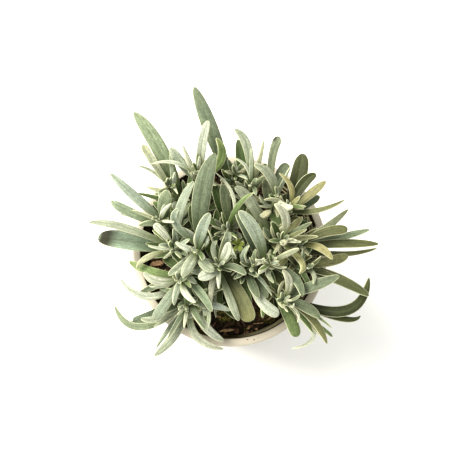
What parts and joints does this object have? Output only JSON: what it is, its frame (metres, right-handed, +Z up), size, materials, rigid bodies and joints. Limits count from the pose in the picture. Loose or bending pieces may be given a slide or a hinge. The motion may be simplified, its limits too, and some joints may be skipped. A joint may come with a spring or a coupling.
{
  "type": "potted dutch lavender",
  "caption": "Young Dutch lavender with broad, felted grey-green leaves on leafy shoots, in a round pale plastic grower's pot filled with compost.",
  "frame": {"origin": "centre of the pot's base, on the surface that it stands on", "axes": "+Z up along the pot's axis; the picture looks along +Y from above, with +X to its right"},
  "size_m": [0.185, 0.164, 0.1744],
  "materials": {
    "pot": "matt moulded polypropylene, pale beige",
    "soil": "moist, coarse, dark compost with bark chips",
    "foliage": "felted grey-green leaves with paler woolly edges"
  },
  "bodies": {
    "root": {"pot": "pot", "soil": "soil", "shoot_01": "foliage", "shoot_02": "foliage", "shoot_03": "foliage", "shoot_04": "foliage", "shoot_05": "foliage", "shoot_06": "foliage", "shoot_07": "foliage", "shoot_08": "foliage", "shoot_09": "foliage", "shoot_10": "foliage", "shoot_11": "foliage", "shoot_12": "foliage", "shoot_13": "foliage", "shoot_14": "foliage", "shoot_15": "foliage", "shoot_16": "foliage", "shoot_17": "foliage", "shoot_18": "foliage", "shoot_19": "foliage", "shoot_20": "foliage"}
  },
  "joints": []
}
